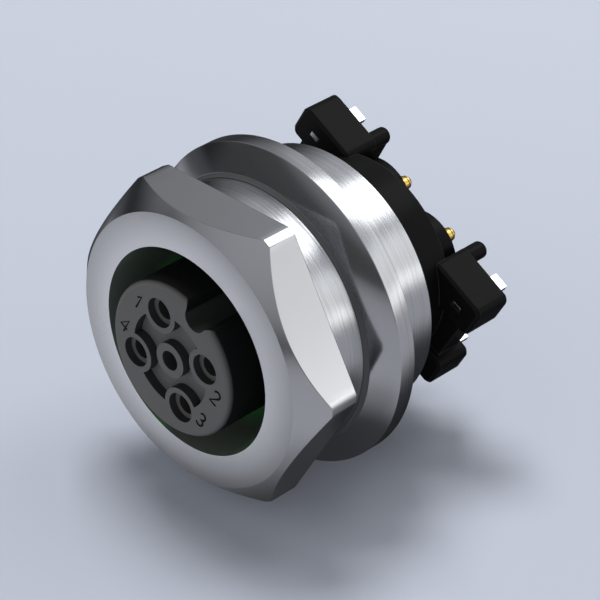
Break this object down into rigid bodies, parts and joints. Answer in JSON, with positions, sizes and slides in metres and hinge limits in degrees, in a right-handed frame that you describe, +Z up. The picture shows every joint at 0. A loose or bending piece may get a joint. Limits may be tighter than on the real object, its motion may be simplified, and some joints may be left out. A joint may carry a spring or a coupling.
{
  "type": "m12 connector",
  "caption": "Panel-mount M12 socket with a hexagonal metal head, round panel nut, keyed plastic contact insert and board-mount solder tails.",
  "frame": {"origin": "on the connector's axis, in the plane of the hexagonal head's rear face, which seats on the panel", "axes": "+Y along the connector's axis towards the circuit board, mating face towards -Y, +Z up with two flats of the hexagon level"},
  "size_m": [0.017, 0.0173, 0.017],
  "materials": {
    "plated_metal": "satin nickel plate on turned brass",
    "plated_metal_nut": "nickel plate, turned, glossy conical face",
    "seal_grey": "smooth dark grey elastomer",
    "seal_green": "smooth dark green elastomer",
    "seal_black": "soft black elastomer",
    "insert_plastic": "fine matt moulded polyamide, dark grey",
    "carrier_plastic": "black moulded high-temperature plastic, satin",
    "gold": "gold plate",
    "sleeve_steel": "drawn stainless steel",
    "tinned_sheet": "bright tinned stamped sheet"
  },
  "bodies": {
    "shell_body": {"shell": "plated_metal"},
    "nut_carriage": {"nut_seal": "seal_grey"},
    "nut_body": {"panel_nut": "plated_metal_nut"},
    "contact_unit": {"insert": "insert_plastic", "well_seal": "seal_green", "contact_retainer": "insert_plastic", "sealing_mat": "seal_black", "carrier": "carrier_plastic", "carrier_seal": "seal_black", "contact_1": "gold", "contact_sleeve_1": "sleeve_steel", "contact_2": "gold", "contact_sleeve_2": "sleeve_steel", "contact_3": "gold", "contact_sleeve_3": "sleeve_steel", "contact_4": "gold", "contact_sleeve_4": "sleeve_steel", "contact_5": "gold", "contact_sleeve_5": "sleeve_steel", "hold_pin_1": "tinned_sheet", "hold_pin_2": "tinned_sheet", "hold_pin_3": "tinned_sheet", "hold_pin_4": "tinned_sheet"}
  },
  "joints": [
    {"name": "nut_travel", "type": "slide", "parent": "shell_body", "child": "nut_carriage", "axis": [0, 1, 0], "range_m": [-0.00155, 0.0047]},
    {"name": "nut_turn", "type": "hinge", "parent": "nut_carriage", "child": "nut_body", "pos_m": [0, 0.003, 0], "axis": [0, 1, 0], "range_deg": [-560, 1694]},
    {"name": "unit_pull", "type": "slide", "parent": "shell_body", "child": "contact_unit", "axis": [0, 1, 0], "range_m": [0, 0.0115]}
  ],
  "couplings": [
    {"joint": "nut_turn", "follows": "nut_travel", "rad_per_m": 6283.2}
  ]
}
